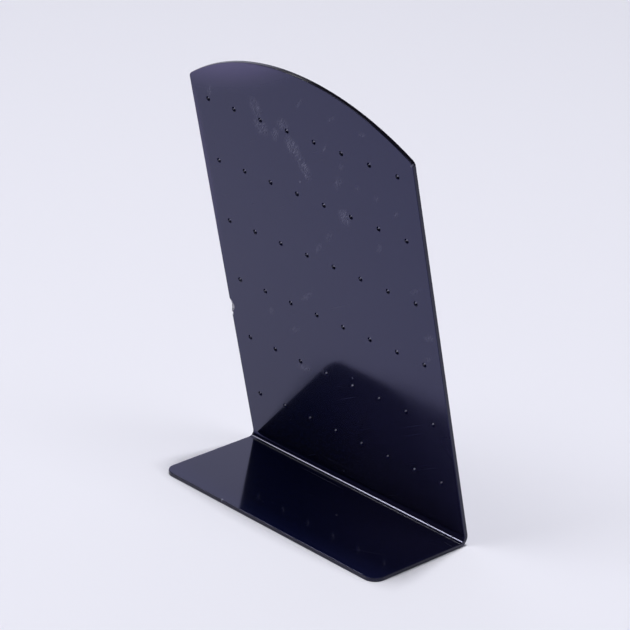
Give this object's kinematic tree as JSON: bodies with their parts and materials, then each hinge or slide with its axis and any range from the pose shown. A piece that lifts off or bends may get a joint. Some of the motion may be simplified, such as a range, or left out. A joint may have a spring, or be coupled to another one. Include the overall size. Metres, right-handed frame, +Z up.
{
  "type": "earring display stand",
  "caption": "Arch-topped acrylic panel with a grid of small earring holes, bent from one sheet with its flat foot and leaning forward over it.",
  "frame": {"origin": "middle of the footprint, on the surface that the foot rests on", "axes": "+X to the right as seen from the front, +Y to the back, where the fold is, +Z up"},
  "size_m": [0.14, 0.0572, 0.2125],
  "materials": {
    "acrylic": "glossy black cast acrylic with polished edges, fine scuffs and a chipped edge"
  },
  "bodies": {
    "root": {"earring_stand": "acrylic"}
  },
  "joints": []
}
